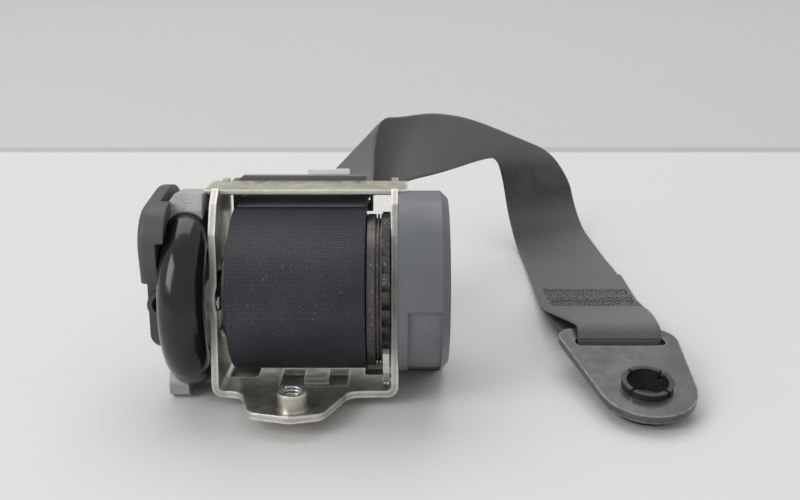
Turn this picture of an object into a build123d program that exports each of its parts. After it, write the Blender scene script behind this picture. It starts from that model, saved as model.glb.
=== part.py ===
from build123d import *
import math
import os

# Rear seat belt: a retractor with a ball pretensioner, its free webbing and the anchor plate.
# All sizes are in millimetres and all angles in degrees. The spool lies along X, the viewer's
# side is -Y and the table is the plane Z = 0.

# How the retractor stands: it leans back about the spool
LEAN = 6
AXIS_HEIGHT = 36.4
FIT = 0.3                  # gap round pieces that turn
SEAT = 0.05                # gap round pieces that are pressed or slid together

# Frame: one bent strip of steel with a floor, two walls and a tab
PLATE = 2.5
WALL_TOP = 37.0
WALL_BACK = 22.0
FLOOR_TOP = -32.0
FLOOR_FRONT = -17.6
FLOOR_BACK = 20.0
BEND_RADIUS = 1.5
EMBOSS_RADIUS = 16.5       # the left wall bulges out round its bearing
EMBOSS_DEPTH = 1.8
EMBOSS_DROP = 2.0
BOSS_RADIUS = 5.0
BOSS_HEIGHT = 6.0
THREAD_RADIUS = 3.7
BOSS_PLACE = (-2.8, -32.6)
WALL_FRONT = [(-18.3, -29.5), (-16.2, -10.1), (-12.4, 12.3), (-12.4, 22.9), (-7.3, 32.7)]
WALL_TOP_FRONT = -2.0
WALL_FOOT = [(22.0, -26.0), (20.0, -30.0)]
TAB_LEFT = 0.9             # from the left wall's inner face to the start of the front edge
TAB_RIGHT = 2.2
TAB_EDGE = [(-22.0, -19.2), (-17.4, -36.4), (-3.0, -40.6), (7.6, -37.6), (15.4, -18.6)]
TAB_CORNER = 5.0
WINDOW = [
    (-9.6, 3.2), (-9.6, -13.4), (14.5, -13.4), (14.5, 3.2),
    (7.5, 3.2), (7.5, -5.8), (-1.6, -5.8), (-1.6, 3.2),
]
LEFT_CORNER = (5.5, 2.8)   # middle of the corner windows, counted from the walls' inner faces
LEFT_CORNER_SIZE = (12.5, 15.3)
RIGHT_CORNER = (4.5, 3.4)
RIGHT_CORNER_SIZE = (10.6, 12.3)
WINDOW_CORNER = 2.0
RIVET_PLACE = (-10.7, -2.0)
RIVET_RADIUS = 1.4
RIVET_HEAD = 2.6
RIVET_RISE = 3.0

# Tie bar on the walls, webbing guide behind it and the guide's clip
BAR_REACH = 3.3            # how far the bar stands out past each wall
BAR_FRONT = 0.0
BAR_DEPTH = 19.3
BAR_BOTTOM = 34.5
BAR_THICKNESS = 1.8
BAR_BEVEL = 0.4
GUIDE_DEPTH = 7.4
GUIDE_BEVEL = 0.8
GUIDE_CHEEK = 1.0          # beside the webbing's slot, on the right
GUIDE_LEFT_END = 1.2       # from the left wall
GUIDE_BOTTOM = 24.6
SLOT_BOTTOM = 27.6
SLOT_TOP = 32.4
SLOT_PLAY = 0.5
HUMP_HEIGHT = 1.6
HUMP_SLOPE = 3.0
HUMP_START = 2.0
HUMP_END = 1.1
HUMP_DEPTH = 3.6
CLIP_WIDTH = 15.7
CLIP_CENTRE = 6.6
CLIP_THICKNESS = 1.2
CLIP_RISE = 2.0            # how far the clip stands over the hump

# Webbing and spool
WEBBING_WIDTH = 47.0
LEFT_ROOM = 4.9            # from the left wall to the webbing
RIGHT_ROOM = 8.5           # from the webbing to the right wall
WEBBING_THICKNESS = 1.2
ROLL_RADIUS = 28.8
CORE_RADIUS = 13.0
LEFT_FLANGE_RADIUS = 19.0
RIGHT_FLANGE_RADIUS = 27.2
LEFT_FLANGE = 2.2
RIGHT_FLANGE = 5.2
GROOVE_DEPTH = 1.6
GROOVE_WIDTH = 0.7
GROOVE_PLACES = (1.2, 2.4) # from the flange's right face
JOURNAL_RADIUS = 6.9
TORSION_RADIUS = 5.0
TORSION_NECK = 4.2
PIN_RADIUS = 2.0
PIN_REACH = 10.2           # from the spool's axis to the webbing pin

# Ratchet on the spool and the pawl on the frame
RATCHET_TEETH = 28
RATCHET_TIP = 28.0
RATCHET_ROOT = 25.6
RATCHET_TURN = 267.5       # where the tooth stands that the pawl catches
PAWL_PIVOT = (-14.6, -28.6)
PAWL_PIN_RADIUS = 1.3
PAWL_EYE = 2.4
PAWL_THICKNESS = 2.2
PAWL_TOOTH = [(-14.6, -31.0), (-1.9, -31.4), (-1.9, -28.55), (-3.6, -28.55), (-6.0, -29.4), (-13.0, -27.0)]
PAWL_ARM = [(-16.8, -29.2), (-24.6, -22.6), (-28.4, -14.5), (-26.2, -13.4), (-23.2, -19.3), (-13.6, -26.6)]

# Lock cover on the right, with the vehicle sensor inside
COVER_TOP = 1.1            # how far the cover stands over the bar's underside
COVER_RISE = 3.4
COVER_WIDTH = 17.4
COVER_WALL = 2.0
COVER_RIM = 2.6
COVER_FOOT = [(10.5, -35.4), (17.0, -34.7)]
FOOT_TUCK = 0.8
LEDGE_HEIGHT = 1.3
LEDGE_DEPTH = 1.2
LEDGE_INSET = (3.2, 2.8)
GEAR_TEETH = 30
GEAR_TIP = 13.2
GEAR_ROOT = 11.2
GEAR_TURN = 244.1          # where the tooth stands that the sensor lever catches
GEAR_WIDTH = 4.0
GEAR_SPACE = 1.2           # beside the gear
BALL_RADIUS = 3.6
BALL_BACK = 2.0
SENSOR_FRONT = -5.0
SENSOR_BACK = 16.5
SENSOR_SPACE = 1.4
EAR_WIDTH = 1.6
EAR_REACH = 2.0
SENSOR_FLOOR = -23.4
SENSOR_BASE = 3.4
SENSOR_TOP = -21.0
LEVER_PIVOT = (14.0, -15.2)
LEVER_THICKNESS = 1.2
LEVER_PIN = 1.0
LEVER_TIP = -6.0
LEVER_END = 0.8
FINGER_INSET = 0.6
FINGER_ROOT = 0.5
FINGER_POINT = 0.2

# Pretensioner on the left: a tube bent to a ring, full of balls
TUBE_RADIUS = 7.7
TUBE_WALL = 1.5
RING_RADIUS = 25.2
RING_DROP = 1.4
RING_START = 58
RING_ARC = 262
BALL_COUNT = 7
BALLS_START = 38           # angle from the tube's mouth to the first ball
SEAL_START = 8
SEAL_ARC = 12
DRIVE_BALL = 5.9
DRIVE_WHEEL_RADIUS = 12.5
DRIVE_WHEEL_WIDTH = 5.0
DRIVE_POCKETS = 8
POCKET_DEPTH = 1.6
HOUSING_WIDTH = 14.2
HOUSING_FACE = 2.4         # between the drive wheel and the frame
COLLAR_WIDTH = 1.0         # of the journal, left of the drive wheel
HOUSING_PROFILE = [        # counted in ring radii
    (-0.377, 1.2183), (-0.298, 1.4444), (0.556, 1.3571), (0.853, 1.2698), (0.992, 1.0714),
    (1.016, -0.7143), (0.873, -1.1706), (0.317, -1.4167), (-0.333, -1.4841), (-0.476, -1.4206),
    (-0.496, -1.25), (-0.317, -0.9524), (-0.238, -0.5952), (-0.238, 0.7937), (-0.377, 1.0913),
]
HOUSING_ROUND = 1.5
HOUSING_TOP_CUT = (4.6, 6.0)
FOOT_WIDTH = 7.0
FOOT_TOP = -1.091          # counted in ring radii
GENERATOR_LENGTH = 10.0
GENERATOR_RADIUS = 6.8
GENERATOR_ROUND = 1.0

# Rewind spring and its cover
SPRING_OUTER = 10.0
SPRING_WIDTH = 5.0
SPRING_TURNS = 5
SPRING_STRIP = 0.5
SPRING_STEPS = 12          # spline points in one turn
SPRING_COVER_REACH = 5.5   # how far the cover stands out past the housing
SPRING_COVER_DEPTH = 9.0
SPRING_COVER_ROUNDS = (((0, 0), 20.5), ((8, 14.6), 22.0), ((-9.5, 20.0), 14.0))
SPRING_COVER_RIM = 2.5
COVER_CLEAR = [(-9.6, 36.8), (40.0, 36.8), (40.0, -40.0), (-9.6, -40.0)]
RECESS_BACK = -12.5
RECESS_TOP = 8.2
SOCKET_HEIGHT = -1.6
SOCKET_RADIUS = 5.2
SOCKET_BORE = 3.4
SOCKET_PROUD = 2.2
SOCKET_SUNK = 2.0

# Anchor plate: it lies on its collar with the slot end up
ANCHOR_PLACE = (119.6, -21.3)
ANCHOR_LEAN = 8
ANCHOR_THICKNESS = 3.0
NOSE_RADIUS = 17.2
COLLAR_RADIUS = 13.5
COLLAR_HEIGHT = 4.0
COLLAR_ROUND = 0.8
BUSH_RADIUS = 9.0
BUSH_BORE = 7.25
BUSH_PROUD = 2.5
BUSH_LIFT = 0.4
SPLIT_WIDTH = 1.2
SPLIT_DEPTH = 3.4
SPLIT_COUNT = 4
SPLIT_TURN = 40
PLATE_SHOULDERS = (((-20.5, 31.8), 5.5), ((9.5, 28.5), 8.8))
ANCHOR_SLOT = (34.0, 5.5)
SLOT_CORNER = 2.5
SLOT_CENTRE = (-3.5, 28.25)
ANCHOR_BAR = 6.3
LOOP_RADIUS = 4.6          # middle of the webbing round the bar
LOOP_WIDTH = 31.5
LOOP_ANGLES = [76, 107, 138, 169, 200, 233, 266]
STITCH_SPAN = (98.0, 134.0)
STITCH_ROUTE = [(57.0, 5.3), (70.0, 3.5), (77.0, 3.0)]
STITCH_THICKNESS = 0.3

# Directions in the leaning retractor
ACROSS = Vector(1, 0, 0)
BACK = Vector(0, math.cos(math.radians(LEAN)), -math.sin(math.radians(LEAN)))
UP = Vector(0, math.sin(math.radians(LEAN)), math.cos(math.radians(LEAN)))

# Sizes that follow
WALL_GAP = LEFT_ROOM + WEBBING_WIDTH + RIGHT_ROOM
WALL_INNER = WALL_GAP / 2
WALL_OUTER = WALL_INNER + PLATE
FLOOR_UNDER = FLOOR_TOP - PLATE
BAR_END = WALL_OUTER + BAR_REACH
BAR_BACK = BAR_FRONT + BAR_DEPTH
BAR_TOP = BAR_BOTTOM + BAR_THICKNESS
BEARING_RADIUS = JOURNAL_RADIUS + FIT
ROLL_LEFT = LEFT_ROOM - WALL_INNER
ROLL_RIGHT = ROLL_LEFT + WEBBING_WIDTH
FLANGE_LEFT = ROLL_LEFT - FIT - LEFT_FLANGE
FLANGE_RIGHT = ROLL_RIGHT + FIT + RIGHT_FLANGE
RATCHET_RIGHT = WALL_INNER - FIT
GUIDE_FRONT = BAR_BACK + SEAT
GUIDE_BACK = GUIDE_FRONT + GUIDE_DEPTH
HUMP_TOP = BAR_TOP + HUMP_HEIGHT
HOUSING_RIGHT = -WALL_OUTER - EMBOSS_DEPTH - FIT
HOUSING_LEFT = HOUSING_RIGHT - HOUSING_WIDTH
SPRING_COVER_LEFT = HOUSING_LEFT - SPRING_COVER_REACH
SPRING_COVER_RIGHT = SPRING_COVER_LEFT + SPRING_COVER_DEPTH
RING_X = -WALL_OUTER - TUBE_RADIUS - SEAT
RING_CENTRE = (0, -RING_DROP)
WHEEL_RIGHT = HOUSING_RIGHT - HOUSING_FACE
WHEEL_LEFT = WHEEL_RIGHT - DRIVE_WHEEL_WIDTH
JOURNAL_LEFT = WHEEL_LEFT - COLLAR_WIDTH
SPRING_LEFT = JOURNAL_LEFT - FIT - SPRING_WIDTH
GEAR_LEFT = WALL_OUTER + GEAR_SPACE
GEAR_RIGHT = GEAR_LEFT + GEAR_WIDTH
COVER_RADIUS = BAR_BOTTOM + COVER_TOP - COVER_RISE
COVER_LEFT = WALL_OUTER + SEAT
COVER_RIGHT = COVER_LEFT + COVER_WIDTH
SENSOR_LEFT = GEAR_RIGHT + SENSOR_SPACE
SENSOR_RIGHT = COVER_RIGHT - COVER_WALL - SEAT


def spot(x, y, z):
    """Place in the leaning retractor, counted from the middle of the spool's axis."""
    return Vector(0, 0, AXIS_HEIGHT) + ACROSS * x + BACK * y + UP * z


def side(x):
    """Plane across the spool: its x runs back and its y runs up."""
    return Plane(origin=spot(x, 0, 0), x_dir=BACK, z_dir=ACROSS)


def level(z):
    """Plane along the frame's floor, facing up."""
    return Plane(origin=spot(0, 0, z), x_dir=ACROSS, z_dir=UP)


def front(y):
    """Plane that faces the viewer."""
    return Plane(origin=spot(0, y, 0), x_dir=ACROSS, z_dir=-BACK)


def disc(left, right, radius, centre=(0, 0), mode=Mode.ADD):
    """Round stock along the spool from one x to another."""
    with BuildSketch(side(left)) as profile:
        with Locations(centre):
            Circle(radius)
    extrude(profile.sketch, amount=right - left, mode=mode)


def slab(left, right, corners, mode=Mode.ADD):
    """Plate across the spool with straight edges."""
    with BuildSketch(side(left)) as profile:
        with BuildLine():
            Polyline(*corners, close=True)
        make_face()
    extrude(profile.sketch, amount=right - left, mode=mode)


def block(x_span, y_span, z_span, mode=Mode.ADD):
    """Box square to the retractor, between two x, two y and two z."""
    with BuildSketch(level(z_span[0])) as profile:
        with Locations((sum(x_span) / 2, sum(y_span) / 2)):
            Rectangle(x_span[1] - x_span[0], y_span[1] - y_span[0])
    extrude(profile.sketch, amount=z_span[1] - z_span[0], mode=mode)


def ring(inner_radius, outer_radius, start, arc, mode=Mode.ADD):
    """Length of tube or rod that follows the pretensioner's ring."""
    outward = BACK * math.cos(math.radians(start)) + UP * math.sin(math.radians(start))
    centre = spot(RING_X, *RING_CENTRE)
    with BuildSketch(Plane(origin=centre, x_dir=ACROSS, z_dir=ACROSS.cross(outward))) as profile:
        with Locations((0, RING_RADIUS)):
            Circle(outer_radius)
            if inner_radius:
                Circle(inner_radius, mode=Mode.SUBTRACT)
    revolve(profile.sketch, axis=Axis(centre, ACROSS), revolution_arc=arc, mode=mode)


def ring_spot(angle):
    """Place on the middle line of the pretensioner's ring."""
    y = RING_RADIUS * math.cos(math.radians(angle))
    z = RING_RADIUS * math.sin(math.radians(angle)) - RING_DROP
    return spot(RING_X, y, z)


def saw_teeth(count, tip, root, turn):
    """Corners of a saw-toothed wheel whose steep faces meet a stop when webbing is pulled out."""
    corners = []
    for tooth in range(count):
        foot = math.radians(turn + 360 * tooth / count)
        top = math.radians(turn + 360 * (tooth + 0.1) / count)
        corners.append((root * math.cos(foot), root * math.sin(foot)))
        corners.append((tip * math.cos(top), tip * math.sin(top)))
    return corners


def ribbon(edges, thickness, first=0, last=None):
    """Ruled strip of webbing through pairs of edge points, from the first pair to the last."""
    pairs = [(Vector(*left), Vector(*right)) for left, right in edges]
    middles = [(left + right) / 2 for left, right in pairs]
    sections = []
    for i, (left, right) in list(enumerate(pairs))[first:last]:
        run = middles[min(i + 1, len(pairs) - 1)] - middles[max(i - 1, 0)]
        across = (right - left).normalized()
        run = run - across * run.dot(across)
        with BuildSketch(Plane(origin=middles[i], x_dir=across, z_dir=run)) as section:
            Rectangle((right - left).length, thickness)
        sections.append(section.sketch.face())
    loft(sections, ruled=True)


# Frame
with BuildPart() as frame:
    with BuildSketch(front(WALL_BACK)):
        with BuildLine():
            FilletPolyline(
                (-WALL_INNER, WALL_TOP),
                (-WALL_INNER, FLOOR_TOP),
                (WALL_INNER, FLOOR_TOP),
                (WALL_INNER, WALL_TOP),
                radius=BEND_RADIUS,
            )
            offset(amount=PLATE, side=Side.RIGHT)
        make_face()
    extrude(amount=WALL_BACK - FLOOR_FRONT + PLATE)
    with BuildSketch(side(-WALL_OUTER)):
        with Locations((0, -EMBOSS_DROP)):
            Circle(EMBOSS_RADIUS)
    extrude(amount=-EMBOSS_DEPTH, taper=45)
    with BuildSketch(side(-WALL_INNER)):
        with Locations((0, -EMBOSS_DROP)):
            Circle(EMBOSS_RADIUS - PLATE / 2)
    extrude(amount=-EMBOSS_DEPTH, taper=45, mode=Mode.SUBTRACT)
    slab(
        -WALL_OUTER - PLATE,
        WALL_OUTER + PLATE,
        [
            (FLOOR_FRONT, FLOOR_UNDER - PLATE),
            *WALL_FRONT,
            (WALL_TOP_FRONT, WALL_TOP),
            (WALL_BACK, WALL_TOP),
            *WALL_FOOT,
            (FLOOR_BACK, FLOOR_UNDER - PLATE),
        ],
        mode=Mode.INTERSECT,
    )
    with BuildSketch(level(FLOOR_UNDER)):
        with BuildLine():
            tab_start = (-WALL_INNER + TAB_LEFT, FLOOR_FRONT)
            tab_end = (WALL_INNER - TAB_RIGHT, FLOOR_FRONT)
            edge = FilletPolyline(tab_start, *TAB_EDGE, tab_end, radius=TAB_CORNER)
            Polyline(
                edge @ 1,
                (tab_end[0], FLOOR_FRONT + PLATE),
                (tab_start[0], FLOOR_FRONT + PLATE),
                edge @ 0,
            )
        make_face()
    extrude(amount=PLATE)
    with BuildSketch(level(FLOOR_TOP)):
        with Locations(BOSS_PLACE):
            Circle(BOSS_RADIUS)
    extrude(amount=BOSS_HEIGHT)
    with BuildSketch(level(FLOOR_UNDER)):
        with Locations(BOSS_PLACE):
            Circle(THREAD_RADIUS)
    extrude(amount=PLATE + BOSS_HEIGHT, mode=Mode.SUBTRACT)
    with BuildSketch(level(FLOOR_UNDER)):
        with BuildLine():
            Polyline(*WINDOW, close=True)
        make_face()
        with Locations((-WALL_INNER + LEFT_CORNER[0], LEFT_CORNER[1])):
            RectangleRounded(*LEFT_CORNER_SIZE, WINDOW_CORNER)
        with Locations((WALL_INNER - RIGHT_CORNER[0], RIGHT_CORNER[1])):
            RectangleRounded(*RIGHT_CORNER_SIZE, WINDOW_CORNER)
    extrude(amount=PLATE, mode=Mode.SUBTRACT)
    block(
        (-WALL_OUTER - PLATE, WALL_OUTER + PLATE),
        (BAR_FRONT - SEAT, BAR_BACK + SEAT),
        (BAR_BOTTOM, WALL_TOP + PLATE),
        mode=Mode.SUBTRACT,
    )
    disc(-WALL_OUTER - EMBOSS_DEPTH, -WALL_INNER, BEARING_RADIUS, mode=Mode.SUBTRACT)
    disc(WALL_INNER, WALL_OUTER, BEARING_RADIUS, mode=Mode.SUBTRACT)
    disc(WALL_INNER, WALL_OUTER, PAWL_PIN_RADIUS + SEAT, PAWL_PIVOT, mode=Mode.SUBTRACT)
    disc(HOUSING_RIGHT, -WALL_INNER, RIVET_RADIUS + SEAT, RIVET_PLACE, mode=Mode.SUBTRACT)

# Tie bar across the walls
with BuildPart() as tie_bar:
    block((-BAR_END, BAR_END), (BAR_FRONT, BAR_BACK), (BAR_BOTTOM, BAR_TOP))
    chamfer(tie_bar.edges().filter_by(Axis.X), BAR_BEVEL)

# Domed rivet in the bulge of the left wall
with BuildPart() as bracket_rivet:
    bulge_floor = -WALL_INNER - EMBOSS_DEPTH
    disc(HOUSING_RIGHT, bulge_floor, RIVET_RADIUS, RIVET_PLACE)
    disc(bulge_floor, bulge_floor + RIVET_RISE, RIVET_HEAD, RIVET_PLACE)
    fillet(bracket_rivet.faces().sort_by(Axis.X)[-1].edges(), RIVET_HEAD / 2)

# Webbing guide: a plastic bridge behind the tie bar with a slot for the webbing
with BuildPart() as webbing_guide:
    guide_left = -WALL_INNER + GUIDE_LEFT_END
    guide_right = ROLL_RIGHT + SLOT_PLAY + GUIDE_CHEEK
    block((guide_left, guide_right), (GUIDE_FRONT, GUIDE_BACK), (GUIDE_BOTTOM, BAR_TOP))
    chamfer(webbing_guide.edges().filter_by(Axis.X), GUIDE_BEVEL)
    block(
        (ROLL_LEFT - SLOT_PLAY, ROLL_RIGHT + SLOT_PLAY),
        (GUIDE_FRONT, GUIDE_BACK),
        (SLOT_BOTTOM, SLOT_TOP),
        mode=Mode.SUBTRACT,
    )
    hump_back = GUIDE_FRONT + GUIDE_BEVEL + HUMP_DEPTH
    hump_left = -WALL_INNER + HUMP_START
    hump_right = ROLL_RIGHT - HUMP_END
    with BuildSketch(front(hump_back)):
        with BuildLine():
            Polyline(
                (hump_left, BAR_TOP - GUIDE_BEVEL),
                (hump_left + HUMP_SLOPE, HUMP_TOP),
                (hump_right, HUMP_TOP),
                (hump_right, BAR_TOP - GUIDE_BEVEL),
                close=True,
            )
        make_face()
    extrude(amount=HUMP_DEPTH)

# Bright clip that stands against the guide's hump
with BuildPart() as guide_clip:
    clip_span = (CLIP_CENTRE - CLIP_WIDTH / 2, CLIP_CENTRE + CLIP_WIDTH / 2)
    block(clip_span, (hump_back, hump_back + CLIP_THICKNESS), (BAR_TOP, HUMP_TOP + CLIP_RISE))
    fillet(guide_clip.edges().filter_by(lambda e: e.length < CLIP_THICKNESS * 1.01), CLIP_THICKNESS / 2)

# Spool with a flange at each end, hollow for the torsion bar
with BuildPart() as spool:
    disc(FLANGE_LEFT, FLANGE_LEFT + LEFT_FLANGE, LEFT_FLANGE_RADIUS)
    disc(FLANGE_LEFT + LEFT_FLANGE, FLANGE_RIGHT - RIGHT_FLANGE, CORE_RADIUS)
    disc(FLANGE_RIGHT - RIGHT_FLANGE, FLANGE_RIGHT, RIGHT_FLANGE_RADIUS)
    for groove in GROOVE_PLACES:
        with BuildSketch(side(FLANGE_RIGHT - groove)) as profile:
            Circle(RIGHT_FLANGE_RADIUS)
            Circle(RIGHT_FLANGE_RADIUS - GROOVE_DEPTH, mode=Mode.SUBTRACT)
        extrude(profile.sketch, amount=GROOVE_WIDTH, mode=Mode.SUBTRACT)
    disc(JOURNAL_LEFT, FLANGE_LEFT, JOURNAL_RADIUS)
    disc(JOURNAL_LEFT, FLANGE_RIGHT, TORSION_RADIUS + SEAT, mode=Mode.SUBTRACT)
    disc(ROLL_LEFT, ROLL_RIGHT, PIN_RADIUS + SEAT, (0, PIN_REACH), mode=Mode.SUBTRACT)
    block(
        (ROLL_LEFT, ROLL_RIGHT),
        (-WEBBING_THICKNESS, WEBBING_THICKNESS),
        (PIN_REACH, CORE_RADIUS + PIN_RADIUS),
        mode=Mode.SUBTRACT,
    )

# Webbing wound on the spool, one solid
with BuildPart() as webbing_roll:
    disc(ROLL_LEFT, ROLL_RIGHT, ROLL_RADIUS)
    disc(ROLL_LEFT, ROLL_RIGHT, CORE_RADIUS + SEAT, mode=Mode.SUBTRACT)

# Pin that holds the webbing's end in the spool
with BuildPart() as webbing_pin:
    disc(ROLL_LEFT + SEAT, ROLL_RIGHT - SEAT, PIN_RADIUS, (0, PIN_REACH))

# Ratchet wheel on the spool's right end
with BuildPart() as ratchet_wheel:
    slab(FLANGE_RIGHT, RATCHET_RIGHT, saw_teeth(RATCHET_TEETH, RATCHET_TIP, RATCHET_ROOT, RATCHET_TURN))
    disc(FLANGE_RIGHT, RATCHET_RIGHT, TORSION_RADIUS + SEAT, mode=Mode.SUBTRACT)

# Torsion bar: thick ends, a thinner neck that twists
with BuildPart() as torsion_bar:
    disc(WHEEL_LEFT, GEAR_RIGHT, TORSION_RADIUS)
    with BuildSketch(side(ROLL_LEFT + TORSION_RADIUS)):
        Circle(TORSION_RADIUS)
        Circle(TORSION_NECK, mode=Mode.SUBTRACT)
    extrude(amount=WEBBING_WIDTH - 2 * TORSION_RADIUS, mode=Mode.SUBTRACT)

# Lock gear on the torsion bar's right end, inside the cover
with BuildPart() as lock_gear:
    slab(GEAR_LEFT, GEAR_RIGHT, saw_teeth(GEAR_TEETH, GEAR_TIP, GEAR_ROOT, GEAR_TURN))
    disc(GEAR_LEFT, GEAR_RIGHT, TORSION_RADIUS + SEAT, mode=Mode.SUBTRACT)

# Pawl below the ratchet wheel's front, on a pin in the right wall
PAWL_LEFT = (FLANGE_RIGHT + RATCHET_RIGHT - PAWL_THICKNESS) / 2
with BuildPart() as pawl_pin:
    disc(PAWL_LEFT - FIT, WALL_OUTER, PAWL_PIN_RADIUS, PAWL_PIVOT)
with BuildPart() as lock_pawl:
    disc(PAWL_LEFT, PAWL_LEFT + PAWL_THICKNESS, PAWL_EYE, PAWL_PIVOT)
    slab(PAWL_LEFT, PAWL_LEFT + PAWL_THICKNESS, PAWL_TOOTH)
    slab(PAWL_LEFT, PAWL_LEFT + PAWL_THICKNESS, PAWL_ARM)
    disc(PAWL_LEFT, PAWL_LEFT + PAWL_THICKNESS, PAWL_PIN_RADIUS + SEAT, PAWL_PIVOT, mode=Mode.SUBTRACT)

# Lock cover: a drum with a foot behind, closed on the right
with BuildPart() as lock_cover:
    with BuildSketch(side(COVER_LEFT)):
        with Locations((0, COVER_RISE)):
            Circle(COVER_RADIUS)
        with BuildLine():
            Polyline((0, COVER_RISE), *COVER_FOOT, close=True)
        make_face()
        make_hull()
    extrude(amount=COVER_WIDTH)
    chamfer(lock_cover.faces().sort_by(Axis.X)[-1].edges(), COVER_RIM)
    with BuildSketch(side(COVER_LEFT)):
        with Locations((0, COVER_RISE)):
            Circle(COVER_RADIUS - COVER_WALL)
        with BuildLine():
            foot = [(y - FOOT_TUCK, z + COVER_WALL) for y, z in COVER_FOOT]
            Polyline((0, COVER_RISE), *foot, close=True)
        make_face()
        make_hull()
    extrude(amount=COVER_WIDTH - COVER_WALL, mode=Mode.SUBTRACT)
    with BuildSketch(side(COVER_LEFT + LEDGE_INSET[0])):
        with Locations((0, COVER_RISE)):
            Circle(COVER_RADIUS + COVER_WALL)
            Circle(COVER_RADIUS - LEDGE_DEPTH, mode=Mode.SUBTRACT)
        with Locations((2 * COVER_RADIUS, 0), (0, LEDGE_HEIGHT + 2 * COVER_RADIUS)):
            Rectangle(4 * COVER_RADIUS, 4 * COVER_RADIUS, mode=Mode.SUBTRACT)
    extrude(amount=COVER_WIDTH - sum(LEDGE_INSET), mode=Mode.SUBTRACT)
    block(
        (COVER_LEFT, BAR_END + FIT),
        (BAR_FRONT - FIT, BAR_BACK + FIT),
        (BAR_BOTTOM - SEAT, BAR_TOP),
        mode=Mode.SUBTRACT,
    )

# Vehicle sensor: a steel ball in a cup that lifts a lever into the lock gear
ball_place = ((SENSOR_LEFT + SENSOR_RIGHT) / 2, BALL_BACK)
with BuildPart() as sensor_housing:
    sensor_under = SENSOR_FLOOR - SENSOR_BASE
    block((SENSOR_LEFT, SENSOR_RIGHT), (SENSOR_FRONT, SENSOR_BACK), (sensor_under, SENSOR_TOP))
    with BuildSketch(level(SENSOR_FLOOR)):
        with Locations(ball_place):
            Circle(BALL_RADIUS + FIT)
    extrude(amount=SENSOR_TOP - SENSOR_FLOOR, mode=Mode.SUBTRACT)
    for ear_x in (SENSOR_LEFT, SENSOR_RIGHT - EAR_WIDTH):
        block(
            (ear_x, ear_x + EAR_WIDTH),
            (LEVER_PIVOT[0] - EAR_REACH, LEVER_PIVOT[0] + EAR_REACH),
            (SENSOR_TOP, LEVER_PIVOT[1] + EAR_REACH),
        )
    disc(SENSOR_LEFT, SENSOR_RIGHT, LEVER_PIN + SEAT, LEVER_PIVOT, mode=Mode.SUBTRACT)
with BuildPart() as sensor_ball:
    with Locations(spot(*ball_place, SENSOR_FLOOR + BALL_RADIUS + SEAT)):
        Sphere(BALL_RADIUS)
with BuildPart() as sensor_lever:
    lever_span = (SENSOR_LEFT + EAR_WIDTH + FIT, SENSOR_RIGHT - EAR_WIDTH - FIT)
    lever_z = (LEVER_PIVOT[1] - LEVER_THICKNESS / 2, LEVER_PIVOT[1] + LEVER_THICKNESS / 2)
    finger_span = (GEAR_LEFT + FINGER_INSET, GEAR_RIGHT - FINGER_INSET)
    lever_end = (LEVER_TIP - LEVER_END, LEVER_TIP + LEVER_END)
    block(lever_span, (lever_end[0], LEVER_PIVOT[0]), lever_z)
    block((finger_span[0], lever_span[1]), lever_end, lever_z)
    disc(SENSOR_LEFT + SEAT, SENSOR_RIGHT - SEAT, LEVER_PIN, LEVER_PIVOT)
    finger_top = -math.sqrt(GEAR_TIP**2 - LEVER_TIP**2) - FIT
    slab(
        *finger_span,
        [
            (LEVER_TIP - FINGER_ROOT, lever_z[0]),
            (LEVER_TIP + FINGER_ROOT, lever_z[0]),
            (LEVER_TIP + FINGER_POINT, finger_top),
            (LEVER_TIP - FINGER_POINT, finger_top),
        ],
    )

# Pretensioner housing: die-cast block that holds the tube's ring from behind
with BuildPart() as pretensioner_housing:
    housing_outline = [(y * RING_RADIUS, z * RING_RADIUS) for y, z in HOUSING_PROFILE]
    slab(HOUSING_LEFT, HOUSING_RIGHT, housing_outline)
    fillet(pretensioner_housing.edges().filter_by(Axis.X).group_by(Axis.Y)[0], HOUSING_ROUND)
    housing_top = max(z for y, z in housing_outline)
    with BuildSketch(front(GUIDE_BACK)) as corner_cut:
        with BuildLine():
            Polyline(
                (HOUSING_LEFT, housing_top - HOUSING_TOP_CUT[1]),
                (HOUSING_LEFT, housing_top),
                (HOUSING_LEFT + HOUSING_TOP_CUT[0], housing_top),
                close=True,
            )
        make_face()
    extrude(corner_cut.sketch, amount=2 * GUIDE_BACK, mode=Mode.SUBTRACT)
    block(
        (HOUSING_LEFT + FOOT_WIDTH, HOUSING_RIGHT),
        (-RING_RADIUS, 0),
        (-2 * RING_RADIUS, FOOT_TOP * RING_RADIUS),
        mode=Mode.SUBTRACT,
    )
    ring(0, TUBE_RADIUS + SEAT, RING_START, RING_ARC, mode=Mode.SUBTRACT)
    block(
        (-BAR_END - FIT, HOUSING_RIGHT),
        (BAR_FRONT - FIT, BAR_BACK + FIT),
        (BAR_BOTTOM - SEAT, WALL_TOP),
        mode=Mode.SUBTRACT,
    )
    disc(HOUSING_LEFT, WHEEL_RIGHT + FIT, DRIVE_WHEEL_RADIUS + FIT, mode=Mode.SUBTRACT)
    disc(WHEEL_RIGHT, HOUSING_RIGHT, BEARING_RADIUS, mode=Mode.SUBTRACT)
    generator_axis = BACK * math.sin(math.radians(RING_START)) - UP * math.cos(math.radians(RING_START))
    with BuildSketch(Plane(origin=ring_spot(RING_START), x_dir=ACROSS, z_dir=generator_axis)):
        Circle(GENERATOR_RADIUS + SEAT)
    extrude(amount=GENERATOR_LENGTH + FIT, mode=Mode.SUBTRACT)
with BuildPart() as pretensioner_tube:
    ring(TUBE_RADIUS - TUBE_WALL, TUBE_RADIUS, RING_START, RING_ARC)
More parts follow.
